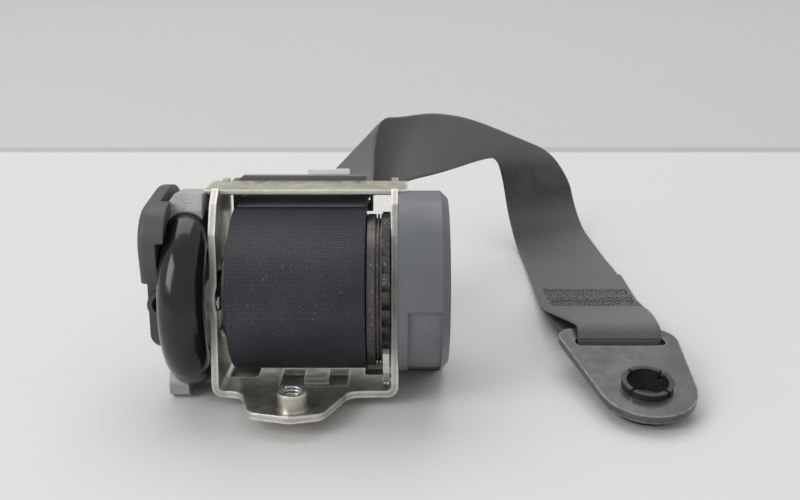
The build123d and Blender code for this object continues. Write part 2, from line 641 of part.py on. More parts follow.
with BuildPart() as gas_generator:
    with BuildSketch(Plane(origin=ring_spot(RING_START), x_dir=ACROSS, z_dir=generator_axis)):
        Circle(GENERATOR_RADIUS)
    extrude(amount=GENERATOR_LENGTH)
    fillet(gas_generator.edges().filter_by(GeomType.CIRCLE).sort_by(Axis.Z)[0], GENERATOR_ROUND)

# Balls in the tube and the seal behind them
ball_step = math.degrees(2 * math.asin((DRIVE_BALL + SEAT) / RING_RADIUS))
drive_balls = []
for index in range(BALL_COUNT):
    with BuildPart() as drive_ball:
        with Locations(ring_spot(RING_START + BALLS_START + index * ball_step)):
            Sphere(DRIVE_BALL)
    drive_balls.append(drive_ball)
with BuildPart() as piston_seal:
    ring(0, DRIVE_BALL, RING_START + SEAL_START, SEAL_ARC)

# Wheel on the spool's left journal that the balls drive, with pockets for them
with BuildPart() as drive_wheel:
    with BuildSketch(side(WHEEL_LEFT)):
        Circle(DRIVE_WHEEL_RADIUS)
        Circle(JOURNAL_RADIUS + SEAT, mode=Mode.SUBTRACT)
        with PolarLocations(DRIVE_WHEEL_RADIUS + DRIVE_BALL - POCKET_DEPTH, DRIVE_POCKETS):
            Circle(DRIVE_BALL, mode=Mode.SUBTRACT)
    extrude(amount=DRIVE_WHEEL_WIDTH)

# Rewind spring and the arbor that winds it
SPRING_INNER = TORSION_RADIUS + FIT
SPRING_GROWTH = (SPRING_OUTER - SPRING_INNER - SPRING_STRIP) / SPRING_TURNS


def spiral(extra):
    """Points of one face of the spring's strip."""
    points = []
    for step in range(SPRING_STEPS * SPRING_TURNS + 1):
        turn = step / SPRING_STEPS
        reach = SPRING_INNER + SPRING_GROWTH * turn + extra
        points.append((reach * math.cos(2 * math.pi * turn), reach * math.sin(2 * math.pi * turn)))
    return points


with BuildPart() as spring_arbor:
    disc(SPRING_LEFT, WHEEL_LEFT - SEAT, TORSION_RADIUS)
with BuildPart() as return_spring:
    with BuildSketch(side(SPRING_LEFT)):
        with BuildLine():
            inner = Spline(*spiral(0))
            outer = Spline(*spiral(SPRING_STRIP))
            Line(inner @ 0, outer @ 0)
            Line(inner @ 1, outer @ 1)
        make_face()
    extrude(amount=SPRING_WIDTH)

# Spring cover on the far left, with a recess in front for the connector socket
SOCKET_PLACE = (SPRING_COVER_LEFT + SOCKET_RADIUS + SEAT, SOCKET_HEIGHT)
with BuildPart() as spring_cover:
    with BuildSketch(side(SPRING_COVER_LEFT)):
        for centre, radius in SPRING_COVER_ROUNDS:
            with Locations(centre):
                Circle(radius)
        make_hull()
    extrude(amount=SPRING_COVER_DEPTH)
    fillet(spring_cover.faces().sort_by(Axis.X)[0].edges(), SPRING_COVER_RIM)
    cover_step = RING_X - TUBE_RADIUS - SEAT
    ring_clear = RING_RADIUS + TUBE_RADIUS + FIT
    disc(cover_step, SPRING_COVER_RIGHT, ring_clear, RING_CENTRE, mode=Mode.SUBTRACT)
    slab(HOUSING_LEFT - SEAT, SPRING_COVER_RIGHT, COVER_CLEAR, mode=Mode.SUBTRACT)
    block(
        (SPRING_COVER_LEFT - SEAT, SPRING_COVER_RIGHT),
        (-ring_clear, RECESS_BACK),
        (-ring_clear, RECESS_TOP),
        mode=Mode.SUBTRACT,
    )
    with BuildSketch(front(RECESS_BACK)):
        with Locations(SOCKET_PLACE):
            Circle(SOCKET_RADIUS + SEAT)
    extrude(amount=-SOCKET_SUNK - SEAT, mode=Mode.SUBTRACT)
with BuildPart() as connector_socket:
    with BuildSketch(front(RECESS_BACK)):
        with Locations(SOCKET_PLACE):
            Circle(SOCKET_RADIUS)
    extrude(amount=SOCKET_PROUD)
    extrude(connector_socket.faces().sort_by(Axis.Y)[-1], amount=SOCKET_SUNK)
    with BuildSketch(front(RECESS_BACK - SOCKET_PROUD)):
        with Locations(SOCKET_PLACE):
            Circle(SOCKET_BORE)
    extrude(amount=-SOCKET_PROUD - SOCKET_SUNK / 2, mode=Mode.SUBTRACT)

# Anchor plate, collar below it and split bush through both
anchor_lean = math.radians(ANCHOR_LEAN)
anchor_base = Plane(
    origin=(*ANCHOR_PLACE, COLLAR_RADIUS * math.sin(anchor_lean)),
    x_dir=(1, 0, 0),
    z_dir=(0, -math.sin(anchor_lean), math.cos(anchor_lean)),
)
BAR_MIDDLE = SLOT_CENTRE[1] + ANCHOR_SLOT[1] / 2 + ANCHOR_BAR / 2
with BuildPart() as anchor_collar:
    with BuildSketch(anchor_base):
        Circle(COLLAR_RADIUS)
        Circle(BUSH_RADIUS + SEAT, mode=Mode.SUBTRACT)
    extrude(amount=COLLAR_HEIGHT)
    fillet(anchor_collar.edges().sort_by(Axis.Z)[0], COLLAR_ROUND)
with BuildPart() as anchor_plate:
    with BuildSketch(anchor_base.offset(COLLAR_HEIGHT)):
        Circle(NOSE_RADIUS)
        for centre, radius in PLATE_SHOULDERS:
            with Locations(centre):
                Circle(radius)
        make_hull()
        with Locations(SLOT_CENTRE):
            RectangleRounded(*ANCHOR_SLOT, SLOT_CORNER, mode=Mode.SUBTRACT)
        Circle(BUSH_RADIUS + SEAT, mode=Mode.SUBTRACT)
    extrude(amount=ANCHOR_THICKNESS)
with BuildPart() as anchor_bush:
    bush_height = COLLAR_HEIGHT + ANCHOR_THICKNESS + BUSH_PROUD
    with BuildSketch(anchor_base.offset(BUSH_LIFT)):
        Circle(BUSH_RADIUS)
        Circle(BUSH_BORE, mode=Mode.SUBTRACT)
    extrude(amount=bush_height - BUSH_LIFT)
    with BuildSketch(anchor_base.offset(bush_height - SPLIT_DEPTH)):
        with PolarLocations(BUSH_RADIUS, SPLIT_COUNT, start_angle=SPLIT_TURN):
            Rectangle(BUSH_RADIUS, SPLIT_WIDTH)
    extrude(amount=SPLIT_DEPTH, mode=Mode.SUBTRACT)

# Free webbing. Each pair is its left and right edge as it leaves the guide, folds over, crosses
# behind the retractor, drops to the table and comes forward to the anchor plate.
FREE_EDGES = [
    ((ROLL_LEFT, 3.1, 66.0), (ROLL_RIGHT, 3.1, 66.0)),
    ((ROLL_LEFT, 15.0, 64.9), (ROLL_RIGHT, 15.0, 64.9)),
    ((ROLL_LEFT, 26.0, 63.8), (ROLL_RIGHT, 26.0, 63.8)),
    ((ROLL_LEFT, 31.5, 62.6), (ROLL_RIGHT, 33.0, 63.0)),
    ((-23.4, 37.0, 58.0), (22.2, 45.0, 61.5)),
    ((-21.0, 43.0, 50.0), (22.8, 60.0, 64.0)),
    ((-19.0, 47.0, 44.0), (22.6, 73.0, 71.0)),
    ((-17.6, 48.4, 39.9), (25.1, 86.0, 81.0)),
    ((0.0, 56.0, 46.0), (33.0, 95.0, 79.0)),
    ((20.0, 64.0, 51.0), (42.0, 104.0, 78.5)),
    ((35.4, 72.0, 56.4), (50.2, 112.0, 77.4)),
    ((50.9, 86.0, 55.9), (66.6, 128.0, 71.7)),
    ((71.4, 122.0, 52.6), (94.9, 160.0, 54.1)),
    ((81.4, 143.0, 48.9), (113.5, 177.0, 43.3)),
    ((85.5, 147.0, 35.7), (124.0, 174.0, 28.0)),
    ((87.9, 145.0, 21.4), (126.1, 170.0, 18.0)),
    ((90.1, 143.0, 12.4), (128.4, 165.0, 10.1)),
    ((92.5, 142.0, 4.0), (131.0, 160.0, 4.0)),
    ((93.6, 136.0, 0.7), (134.1, 150.0, 0.7)),
    ((94.0, 122.0, 0.7), (135.6, 124.0, 0.7)),
    ((94.1, 109.0, 1.95), (136.3, 109.0, 1.95)),
    ((94.1, 97.0, 1.95), (136.5, 97.0, 1.95)),
    ((94.0, 84.0, 2.5), (136.7, 84.0, 2.5)),
    ((93.7, 70.0, 3.5), (137.0, 70.0, 3.5)),
    ((93.5, 56.0, 5.4), (137.2, 56.0, 5.4)),
    ((93.6, 45.0, 8.0), (137.0, 45.5, 8.0)),
    ((97.0, 30.0, 12.1), (135.0, 30.0, 12.1)),
]
TAIL_EDGES = [
    ((98.5, 26.0, 6.9), (133.7, 26.0, 6.9)),
    ((95.0, 42.0, 5.6), (136.4, 42.0, 5.6)),
    ((93.9, 56.0, 4.1), (137.6, 56.0, 4.1)),
    ((94.4, 70.0, 2.2), (138.2, 70.0, 2.2)),
    ((94.9, 84.0, 1.2), (138.6, 84.0, 1.2)),
    ((95.3, 97.0, 0.65), (138.8, 97.0, 0.65)),
    ((95.4, 104.0, 0.65), (138.8, 104.0, 0.65)),
]
bar_spot = anchor_base.from_local_coords(
    Vector(SLOT_CENTRE[0], BAR_MIDDLE, COLLAR_HEIGHT + ANCHOR_THICKNESS / 2)
)


def loop_edge(angle):
    """Pair of edge points where the webbing turns round the anchor plate's bar."""
    y = bar_spot.Y + LOOP_RADIUS * math.cos(math.radians(angle))
    z = bar_spot.Z + LOOP_RADIUS * math.sin(math.radians(angle))
    return (bar_spot.X - LOOP_WIDTH / 2, y, z), (bar_spot.X + LOOP_WIDTH / 2, y, z)


belt_edges = FREE_EDGES + [loop_edge(angle) for angle in LOOP_ANGLES] + TAIL_EDGES
loop_front = len(FREE_EDGES) + len(LOOP_ANGLES) // 2
with BuildPart() as belt_webbing:
    ribbon(belt_edges, WEBBING_THICKNESS, last=loop_front + 1)
with BuildPart() as belt_tail:
    ribbon(belt_edges, WEBBING_THICKNESS, first=loop_front)

# Band of stitches that holds the tail under the webbing
stitch_lift = (WEBBING_THICKNESS + STITCH_THICKNESS) / 2 + SEAT
stitch_edges = []
for y, z in STITCH_ROUTE:
    stitch_edges.append(((STITCH_SPAN[0], y, z + stitch_lift), (STITCH_SPAN[1], y, z + stitch_lift)))
with BuildPart() as belt_stitching:
    ribbon(stitch_edges, STITCH_THICKNESS)

# Everything is moved so that the origin is below the middle of the retractor
retractor = {
    "frame": frame,
    "tie_bar": tie_bar,
    "bracket_rivet": bracket_rivet,
    "webbing_guide": webbing_guide,
    "guide_clip": guide_clip,
    "spool": spool,
    "webbing_roll": webbing_roll,
    "webbing_pin": webbing_pin,
    "ratchet_wheel": ratchet_wheel,
    "torsion_bar": torsion_bar,
    "lock_gear": lock_gear,
    "pawl_pin": pawl_pin,
    "lock_pawl": lock_pawl,
    "lock_cover": lock_cover,
    "sensor_housing": sensor_housing,
    "sensor_ball": sensor_ball,
    "sensor_lever": sensor_lever,
    "pretensioner_housing": pretensioner_housing,
    "pretensioner_tube": pretensioner_tube,
    "gas_generator": gas_generator,
    "piston_seal": piston_seal,
    "drive_wheel": drive_wheel,
    "spring_arbor": spring_arbor,
    "return_spring": return_spring,
    "spring_cover": spring_cover,
    "connector_socket": connector_socket,
}
for index, drive_ball in enumerate(drive_balls, start=1):
    retractor[f"drive_ball_{index}"] = drive_ball
belt = {
    "belt_webbing": belt_webbing,
    "belt_tail": belt_tail,
    "belt_stitching": belt_stitching,
    "anchor_plate": anchor_plate,
    "anchor_bush": anchor_bush,
    "anchor_collar": anchor_collar,
}
boxes = [piece.part.bounding_box() for piece in retractor.values()]
middle_x = (min(box.min.X for box in boxes) + max(box.max.X for box in boxes)) / 2
middle_y = (min(box.min.Y for box in boxes) + max(box.max.Y for box in boxes)) / 2
lowest = min(box.min.Z for box in boxes)
to_origin = Location((-middle_x, -middle_y, -lowest))
print("spool axis at", -middle_x, -middle_y, AXIS_HEIGHT - lowest)

os.makedirs("parts", exist_ok=True)
for name, piece in {**retractor, **belt}.items():
    piece.part = piece.part.moved(to_origin)
    piece.part.label = name
    export_step(piece.part, f"parts/{name}.step")
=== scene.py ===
import math
import random

import bmesh
import bpy
import numpy as np
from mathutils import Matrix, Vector, noise


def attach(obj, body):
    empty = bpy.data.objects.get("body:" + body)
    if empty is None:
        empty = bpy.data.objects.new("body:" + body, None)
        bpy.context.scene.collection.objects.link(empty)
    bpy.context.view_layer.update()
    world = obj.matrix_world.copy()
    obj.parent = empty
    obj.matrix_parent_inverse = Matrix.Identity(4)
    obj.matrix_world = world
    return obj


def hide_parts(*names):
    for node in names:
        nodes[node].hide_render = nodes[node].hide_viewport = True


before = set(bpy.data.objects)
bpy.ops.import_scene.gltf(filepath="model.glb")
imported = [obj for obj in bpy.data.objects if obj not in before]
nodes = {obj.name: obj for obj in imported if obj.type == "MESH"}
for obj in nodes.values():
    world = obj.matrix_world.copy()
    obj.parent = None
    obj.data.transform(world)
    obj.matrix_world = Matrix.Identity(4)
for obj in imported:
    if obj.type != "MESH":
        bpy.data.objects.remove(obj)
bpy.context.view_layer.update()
rng = random.Random(7)

# Places and sizes of pieces are in millimetres, and sizes in materials, lights and camera in metres.
# The free webbing's places are counted from the table below the spool
TABLE = Vector((2.175, 5.61363, 0.001575))
# The other places are counted from the spool: x along it, y back and z up, leaning with it
AXIS = TABLE + Vector((0, 0, 36.4))
LEAN = math.radians(6)
BACK = Vector((0, math.cos(LEAN), -math.sin(LEAN)))
UP = Vector((0, math.sin(LEAN), math.cos(LEAN)))

WEBBING_WIDTH = 47
ROLL_LEFT = -25.3
ROLL_RIGHT = ROLL_LEFT + WEBBING_WIDTH


def spot(x, y, z):
    """A place counted from the spool, in metres of the row."""
    return (AXIS + Vector((x, 0, 0)) + BACK * y + UP * z) / 1000


def ground(x, y, z):
    """A place counted from the table, in metres of the row."""
    return (TABLE + Vector((x, y, z))) / 1000


# Camera
camera_data = bpy.data.cameras.new("camera")
camera_data.sensor_width = 36
camera_data.lens = 42.75
camera_data.clip_start = 0.01
camera = bpy.data.objects.new("camera", camera_data)
camera.location = (0.035475, -0.312186, 0.1671)
camera.rotation_euler = (math.radians(70), 0, 0)
bpy.context.scene.collection.objects.link(camera)
bpy.context.scene.camera = camera


# Node materials
class Shade:
    """A procedural material that is built up from small steps."""

    def __init__(self, name, colour, rough, metal=0.0, **sockets):
        self.material = bpy.data.materials.new(name)
        self.material.use_nodes = True
        self.tree = self.material.node_tree
        self.shader = self.tree.nodes["Principled BSDF"]
        self.set("Base Color", colour)
        self.set("Roughness", rough)
        self.set("Metallic", metal)
        for socket, value in sockets.items():
            self.set(socket.replace("_", " "), value)

    def set(self, socket, value):
        """Link an output to one of the shader's sockets, or write a plain value there."""
        self.fill(self.shader.inputs[socket], value)

    def fill(self, target, value):
        """Link an output to a socket, or write a number, vector or colour there."""
        if isinstance(value, bpy.types.NodeSocket):
            self.tree.links.new(value, target)
        elif target.type == "RGBA":
            target.default_value = (*value, 1)
        else:
            target.default_value = value

    def node(self, kind, settings=(), **inputs):
        """A new node. An input is named, or numbered after an underscore."""
        made = self.tree.nodes.new(kind)
        for name, value in dict(settings).items():
            setattr(made, name, value)
        for name, value in inputs.items():
            self.fill(made.inputs[int(name[1:]) if name[1:].isdigit() else name.replace("_", " ")], value)
        return made

    def place(self):
        """Where a point lies on the model, in metres."""
        return self.node("ShaderNodeTexCoord").outputs["Object"]

    def uv(self):
        """Where a point lies on the UV map."""
        return self.node("ShaderNodeTexCoord").outputs["UV"]

    def split(self, vector):
        """A vector's three parts."""
        return self.node("ShaderNodeSeparateXYZ", _0=vector).outputs

    def stretch(self, vector, scale):
        """A place scaled along each axis, so that noise there is drawn out."""
        return self.node("ShaderNodeMapping", Vector=vector, Scale=scale).outputs[0]

    def calc(self, kind, a, b=0.0):
        """A sum of two values, or of one where the kind takes one."""
        return self.node("ShaderNodeMath", {"operation": kind}, _0=a, _1=b).outputs[0]

    def times(self, a, b):
        return self.calc("MULTIPLY", a, b)

    def plus(self, a, b):
        return self.calc("ADD", a, b)

    def band(self, value, low, high, to_low=0.0, to_high=1.0):
        """Smooth step of a value between two marks."""
        settings = {"interpolation_type": "SMOOTHSTEP"}
        made = self.node("ShaderNodeMapRange", settings, Value=value, _1=low, _2=high, _3=to_low, _4=to_high)
        return made.outputs[0]

    def grain(self, where, scale, detail=4, rough=0.6, twist=0.0):
        """Noise with so many bumps to the unit."""
        shape = {"Scale": scale, "Detail": detail, "Roughness": rough, "Distortion": twist}
        return self.node("ShaderNodeTexNoise", Vector=where, **shape).outputs[0]

    def spots(self, where, scale, low, high, to_low=0.0, to_high=1.0, **noise_shape):
        """Noise cut off softly below one mark and above another."""
        return self.band(self.grain(where, scale, **noise_shape), low, high, to_low, to_high)

    def blend(self, factor, a, b):
        """Mix of two colours."""
        return self.node("ShaderNodeMix", {"data_type": "RGBA"}, _0=factor, _6=a, _7=b).outputs[2]

    def tint(self, tone, mask, share, colour):
        """A colour with up to that share of another one, where the mask is one."""
        return self.blend(self.times(mask, share), tone, colour)

    def edge_mask(self, radius):
        """One along the model's edges, fading out within that radius."""
        rounded = self.node("ShaderNodeBevel", {"samples": 6}, Radius=radius).outputs[0]
        flat = self.node("ShaderNodeNewGeometry").outputs["Normal"]
        turn = self.node("ShaderNodeVectorMath", {"operation": "DOT_PRODUCT"}, _0=rounded, _1=flat)
        return self.band(turn.outputs["Value"], 0.95, 0.999, 1.0, 0.0)

    def bump(self, height, depth, strength, soft=0.0):
        """Relief of so many metres; soft rounds the model's sharp edges by that radius."""
        made = self.node("ShaderNodeBump", Height=height, Strength=strength, Distance=depth)
        if soft:
            rounded = self.node("ShaderNodeBevel", {"samples": 4}, Radius=soft)
            self.fill(made.inputs["Normal"], rounded.outputs[0])
        self.set("Normal", made.outputs[0])


def zinc(name, base, warm, worn, rough=0.38, soft=0.0002, edge_brightening=0.0):
    """Plated or bare metal with blotches, scratches and specks, and its edges brightened by a given share.
    """
    made = Shade(name, base, rough, 0.9)
    where = made.place()
    streak = made.grain(made.stretch(where, (1, 1, 0.18)), 220, detail=5, rough=0.7)
    tone = made.blend(made.spots(where, 90, 0.38, 0.66, rough=0.65), base, warm)
    tone = made.tint(tone, made.spots(where, 60, 0.56, 0.7, detail=6, rough=0.75, twist=0.6), 0.55, worn)
    # Edges lightened towards pale grey, patchily
    if edge_brightening:
        edge = made.times(made.edge_mask(0.0018), made.band(streak, 0.25, 0.6, 0.35, 1.0))
        tone = made.tint(tone, edge, edge_brightening, (0.95, 0.94, 0.9))
    scratch = made.spots(made.stretch(where, (0.15, 1, 1)), 900, 0.7, 0.76, detail=2, rough=0.5)
    tone = made.tint(tone, scratch, 0.35, (0.06, 0.055, 0.05))
    speck = made.spots(where, 1400, 0.66, 0.72, detail=2, rough=0.5)
    made.set("Base Color", made.tint(tone, speck, 0.5, (0.92, 0.92, 0.9)))
    made.set("Roughness", made.band(streak, 0.3, 0.75, rough - 0.1, rough + 0.16))
    made.bump(made.grain(where, 1500), 0.00006, 0.35, soft)
    return made.material


def moulded(name, base, lighter, rough, soft=0.0005):
    """Moulded plastic: fine spark-eroded grain, faint cloudiness and a few rubbed spots."""
    made = Shade(name, base, rough, Specular_IOR_Level=0.45)
    where = made.place()
    tone = made.blend(made.spots(where, 45, 0.35, 0.7), base, lighter)
    dust = made.spots(where, 700, 0.64, 0.72, detail=3)
    made.set("Base Color", made.tint(tone, dust, 0.12, (0.4, 0.4, 0.4)))
    made.set("Roughness", made.spots(where, 130, 0.3, 0.7, rough - 0.06, rough + 0.08))
    made.bump(made.grain(where, 3200, detail=2, rough=0.5), 0.00005, 0.4, soft)
    return made.material


ROW_PITCH = 0.66
TWILL_PITCH = 0.85
# Painted shade on the strap's fold, in millimetres along it: where it darkens, and where it clears again
FOLD_SHADE_IN = (198, 212)
FOLD_SHADE_OUT = (220, 240)


def weave(name, dark, light, fleck_and_glint, relief, rough=0.62, sheen=0.12, painted_fold_shade=0.0):
    """Twill of seat belt webbing. Its UV map is in millimetres: across the webbing, then along it."""
    made = Shade(name, dark, rough, Specular_IOR_Level=0.4, Sheen_Weight=sheen, Sheen_Roughness=0.4)
    where = made.uv()
    across, along = made.split(where)[:2]
    row = made.times(along, 2 * math.pi / ROW_PITCH)
    slant = made.plus(made.times(across, 2 * math.pi / TWILL_PITCH), made.times(row, 0.5))
    rib = made.times(made.calc("SINE", row), 0.3)
    stitch = made.times(made.calc("SINE", slant), 0.25)
    height = made.plus(made.plus(rib, stitch), 0.5)
    thread = made.grain(made.stretch(where, (1, 0.35, 1)), 2.6, detail=2, rough=0.5)
    tone = made.blend(made.band(height, 0.2, 0.95), dark, light)
    tone = made.tint(tone, made.spots(where, 0.12, 0.35, 0.75), 0.35, light)
    # Painted shade: a darker stretch of the strap where it falls from the crest, standing in for the shade
    # there
    if painted_fold_shade:
        shaded = made.times(made.band(along, *FOLD_SHADE_IN), made.band(along, *FOLD_SHADE_OUT, 1.0, 0.0))
        uneven = made.spots(where, 0.05, 0.3, 0.6, 0.6, 1.0, detail=3)
        tone = made.tint(tone, made.times(shaded, uneven), painted_fold_shade, (0.018, 0.019, 0.022))
    # Light flecks on the threads: a fleck colour in the yarn, and where their share is large, as on the
    # roll, painted glints
    made.set("Base Color", made.tint(tone, made.band(thread, 0.66, 0.8), fleck_and_glint, (0.5, 0.5, 0.55)))
    made.bump(made.plus(height, made.times(thread, 0.4)), relief, 0.8)
    return made.material


def gloss_paint():
    """Gloss black paint with a faint orange peel and dust."""
    black = (0.009, 0.009, 0.01)
    made = Shade("gloss_paint", black, 0.16, Coat_Weight=0.25, Coat_Roughness=0.08, Specular_IOR_Level=0.4)
    where = made.place()
    dust = made.spots(where, 1100, 0.68, 0.76, detail=3)
    made.set("Base Color", made.tint(black, dust, 0.25, (0.2, 0.2, 0.2)))
    made.set("Roughness", made.spots(where, 160, 0.3, 0.7, 0.12, 0.26))
    made.bump(made.grain(where, 260, detail=2, rough=0.5), 0.00012, 0.25)
    return made.material


def satin_paint():
    """Satin dark paint on the anchor plate, brightened along its edges."""
    made = Shade("satin_paint", (0.06, 0.06, 0.062), 0.3, 0.45)
    where = made.place()
    tone = made.blend(made.spots(where, 70, 0.35, 0.7), (0.08, 0.08, 0.081), (0.11, 0.11, 0.112))
    edge = made.times(made.edge_mask(0.0009), made.spots(where, 300, 0.3, 0.6, 0.3, 1.0, detail=3))
    made.set("Base Color", made.tint(tone, edge, 0.7, (0.5, 0.48, 0.45)))
    made.set("Roughness", made.spots(where, 240, 0.3, 0.7, 0.24, 0.38))
    made.bump(made.grain(where, 1300, detail=3), 0.00006, 0.35, 0.0006)
    return made.material


ZINC = zinc("zinc_plating", (0.56, 0.545, 0.47), (0.44, 0.425, 0.36), (0.74, 0.73, 0.69),
            soft=0.0004, edge_brightening=0.9)
ZINC_PALE = zinc("zinc_plating_pale", (0.52, 0.51, 0.42), (0.42, 0.41, 0.33), (0.7, 0.69, 0.62), 0.42,
                 soft=0.0004, edge_brightening=0.6)
BRIGHT = zinc("bright_steel", (0.84, 0.84, 0.82), (0.72, 0.72, 0.7), (0.94, 0.94, 0.94), 0.3)
STEEL = zinc("steel", (0.42, 0.42, 0.41), (0.3, 0.3, 0.3), (0.6, 0.6, 0.6), 0.32)
SPOOL = zinc("spool_metal", (0.12, 0.112, 0.108), (0.085, 0.078, 0.075), (0.2, 0.19, 0.185), 0.46)
CAST = zinc("cast_zinc", (0.47, 0.465, 0.45), (0.42, 0.415, 0.4), (0.53, 0.525, 0.51), 0.58, soft=0.0006)
# The guide clip is bright metal: this white, non-metal colour is painted highlight in place of its
# reflection
CLIP_WHITE_HIGHLIGHT = moulded("clip_white_highlight", (0.86, 0.86, 0.86), (0.95, 0.95, 0.95), 0.3, soft=0.0002)
COVER = moulded("cover_plastic", (0.128, 0.136, 0.148), (0.148, 0.156, 0.168), 0.42)
DARK = moulded("dark_plastic", (0.055, 0.055, 0.058), (0.075, 0.075, 0.078), 0.45)
GUIDE = moulded("guide_plastic", (0.11, 0.11, 0.115), (0.14, 0.14, 0.145), 0.4)
BLACK = moulded("black_plastic", (0.018, 0.019, 0.02), (0.03, 0.03, 0.032), 0.38, soft=0.0003)
RUBBER = moulded("seal_rubber", (0.02, 0.02, 0.02), (0.035, 0.035, 0.035), 0.7)
# The free strap's webbing, with painted shade on its fold
WEBBING = weave("webbing", (0.105, 0.105, 0.11), (0.128, 0.128, 0.134), 0.12, 0.00002, painted_fold_shade=0.75)
STITCHED = weave("stitch_thread", (0.045, 0.045, 0.048), (0.08, 0.08, 0.084), 0.15, 0.00004)
# The wound roll is the same webbing as the free strap: its far darker colours are painted shade for the
# shade it lies in, and its large share of light flecks is painted glints
ROLLED_SHADED = weave("webbing_rolled_shaded", (0.004, 0.005, 0.008), (0.036, 0.04, 0.05), 0.7, 0.0003, 0.32, 0.0)
PAINT = gloss_paint()
PLATE = satin_paint()

finishes = {
    ZINC: ["frame"],
    ZINC_PALE: ["tie_bar"],
    CLIP_WHITE_HIGHLIGHT: ["guide_clip"],
    BRIGHT: ["bracket_rivet", "webbing_pin", "lock_pawl", "pawl_pin"],
    STEEL: ["torsion_bar", "gas_generator", "return_spring", "sensor_ball",
            *(f"drive_ball_{number}" for number in range(1, 8))],
    SPOOL: ["spool", "ratchet_wheel"],
    CAST: ["pretensioner_housing", "drive_wheel"],
    COVER: ["lock_cover", "lock_gear", "sensor_lever"],
    DARK: ["spring_cover", "connector_socket", "spring_arbor", "sensor_housing"],
    GUIDE: ["webbing_guide"],
    BLACK: ["anchor_bush", "anchor_collar"],
    RUBBER: ["piston_seal"],
    PAINT: ["pretensioner_tube"],
    PLATE: ["anchor_plate"],
}
for finish, names in finishes.items():
    for name in names:
        for material_slot in nodes[name].material_slots:
            material_slot.material = finish


# Mesh helpers
def mesh_object(name, bm, material):
    """A mesh object in the scene, made from a bmesh that it uses up."""
    mesh = bpy.data.meshes.new(name)
    bm.to_mesh(mesh)
    bm.free()
    mesh.materials.append(material)
    made = bpy.data.objects.new(name, mesh)
    bpy.context.scene.collection.objects.link(made)
    return made


def piece(name, bm, material, body="retractor"):
    """A smooth mesh object that rides on a body."""
    bmesh.ops.recalc_face_normals(bm, faces=bm.faces)
    made = mesh_object(name, bm, material)
    made.data.shade_smooth()
    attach(made, body)
    return made


def skin(name, rings, material, body="retractor"):
    """A closed skin of webbing. Each ring is its places with their marks across, and one mark along."""
    bm = bmesh.new()
    uv = bm.loops.layers.uv.new("UVMap")
    rows = [[(bm.verts.new(place), (side, along)) for place, side in ring] for ring, along in rings]
    faces = []
    for first, second in zip(rows, rows[1:]):
        for j in range(len(first)):
            k = (j + 1) % len(first)
            faces.append([first[j], first[k], second[k], second[j]])
    for corners in faces + [rows[0], rows[-1]]:
        face = bm.faces.new([vertex for vertex, _ in corners])
        for corner, (_, marks) in zip(face.loops, corners):
            corner[uv].uv = marks
    return piece(name, bm, material, body)


def nurbs(points):
    """Points along the smooth curve that has the given places as its control points."""
    data = bpy.data.curves.new("edge", "CURVE")
    data.dimensions = "3D"
    data.resolution_u = 10
    spline = data.splines.new("NURBS")
    spline.points.add(len(points) - 1)
    for point, place in zip(spline.points, points):
        point.co = (*place, 1)
    spline.order_u = 3
    spline.use_endpoint_u = True
    curve = bpy.data.objects.new("edge", data)
    bpy.context.scene.collection.objects.link(curve)
    bpy.context.view_layer.update()
    mesh = bpy.data.meshes.new_from_object(curve.evaluated_get(bpy.context.evaluated_depsgraph_get()))
    made = [vertex.co.copy() for vertex in mesh.vertices]
    bpy.data.objects.remove(curve)
    bpy.data.curves.remove(data)
    bpy.data.meshes.remove(mesh)
    return made


# Free webbing: pairs of left and right edge points, as on the solid
FREE_EDGES = [
    ((ROLL_LEFT, 3.1, 66.0), (ROLL_RIGHT, 3.1, 66.0)),
    ((ROLL_LEFT, 15.0, 64.9), (ROLL_RIGHT, 15.0, 64.9)),
    ((ROLL_LEFT, 26.0, 63.8), (ROLL_RIGHT, 26.0, 63.8)),
    ((ROLL_LEFT, 31.5, 62.6), (ROLL_RIGHT, 33.0, 63.0)),
    ((-23.4, 37.0, 58.0), (22.2, 45.0, 61.5)),
    ((-21.0, 43.0, 50.0), (22.8, 60.0, 64.0)),
    ((-19.0, 47.0, 44.0), (22.6, 73.0, 71.0)),
    ((-17.6, 48.4, 39.9), (25.1, 86.0, 81.0)),
    ((0.0, 56.0, 46.0), (33.0, 95.0, 79.0)),
    ((20.0, 64.0, 51.0), (42.0, 104.0, 78.5)),
    ((35.4, 72.0, 56.4), (50.2, 112.0, 77.4)),
    ((50.9, 86.0, 55.9), (66.6, 128.0, 71.7)),
    ((71.4, 122.0, 52.6), (94.9, 160.0, 54.1)),
    ((81.4, 143.0, 48.9), (113.5, 177.0, 43.3)),
    ((85.5, 147.0, 35.7), (124.0, 174.0, 28.0)),
    ((87.9, 145.0, 21.4), (126.1, 170.0, 18.0)),
    ((90.1, 143.0, 12.4), (128.4, 165.0, 10.1)),
    ((92.5, 142.0, 4.0), (131.0, 160.0, 4.0)),
    ((93.6, 136.0, 0.7), (134.1, 150.0, 0.7)),
    ((94.0, 122.0, 0.7), (135.6, 124.0, 0.7)),
    ((94.1, 109.0, 1.95), (136.3, 109.0, 1.95)),
    ((94.1, 97.0, 1.95), (136.5, 97.0, 1.95)),
    ((94.0, 84.0, 2.5), (136.7, 84.0, 2.5)),
    ((93.7, 70.0, 3.5), (137.0, 70.0, 3.5)),
    ((93.5, 56.0, 5.4), (137.2, 56.0, 5.4)),
    ((93.6, 45.0, 8.0), (137.0, 45.5, 8.0)),
    ((97.0, 30.0, 12.1), (135.0, 30.0, 12.1)),
]
